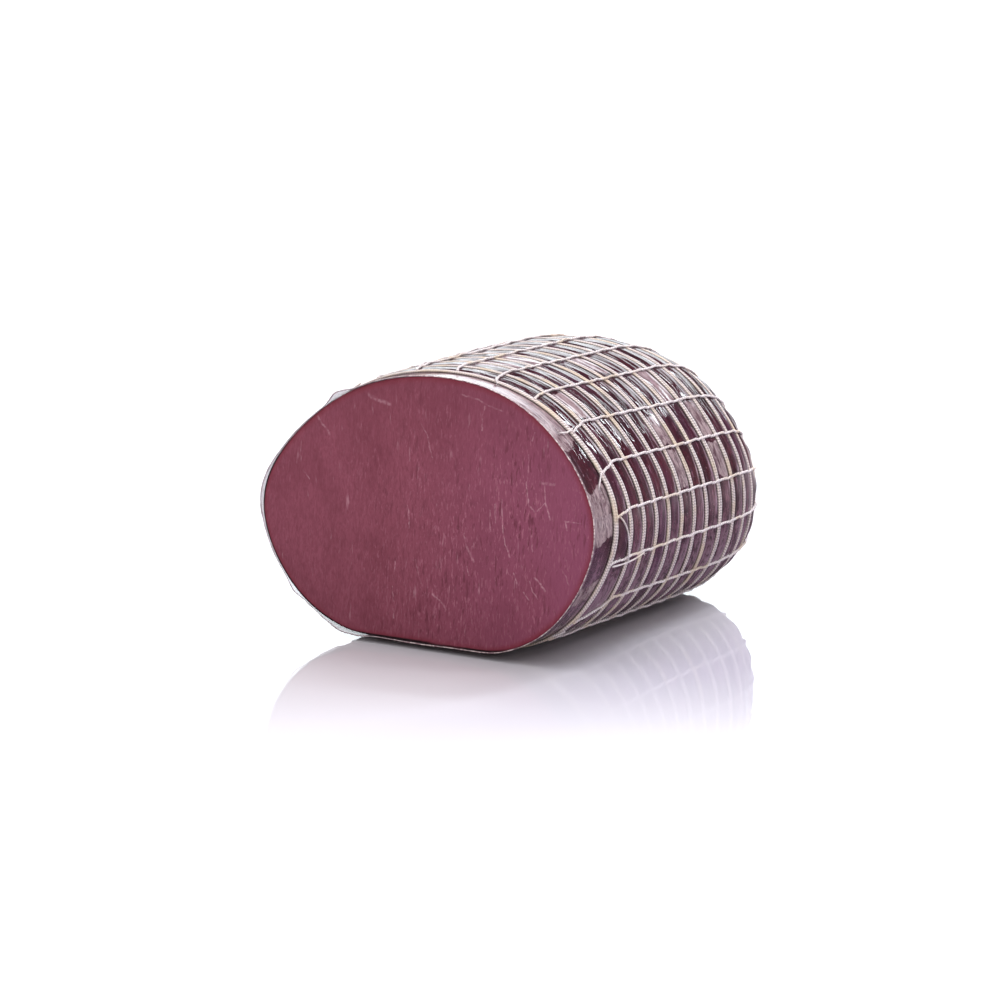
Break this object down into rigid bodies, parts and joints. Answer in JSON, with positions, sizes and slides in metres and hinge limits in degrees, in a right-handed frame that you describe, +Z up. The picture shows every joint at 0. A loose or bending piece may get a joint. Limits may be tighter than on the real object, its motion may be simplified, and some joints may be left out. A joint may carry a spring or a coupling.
{
  "type": "cured beef joint",
  "caption": "Half of an oval cured beef joint, cut across to show the dark red meat, in a clear wrinkled casing and a knitted elastic net drawn together at the far end.",
  "frame": {"origin": "centre of the base: the middle of the part's length and width, on the surface that it lies on", "axes": "+Z up, +Y along the joint from the cut face at the front to the rounded end, +X across it to the right as the cut face is looked at"},
  "size_m": [0.1512, 0.191, 0.105],
  "materials": {
    "beef": "moist cut meat: dark burgundy with fine upright fibres, thin pale veins and a redder rim",
    "casing": "clear wrinkled film clinging to dark meat, with milky grey patches and sharp highlights",
    "net": "matt cream elastic yarn, knitted: paired rings and twisted chains",
    "tie": "matt cream elastic yarn, wound"
  },
  "bodies": {
    "root": {"beef": "beef", "casing": "casing", "net": "net", "tie": "tie"}
  },
  "joints": []
}
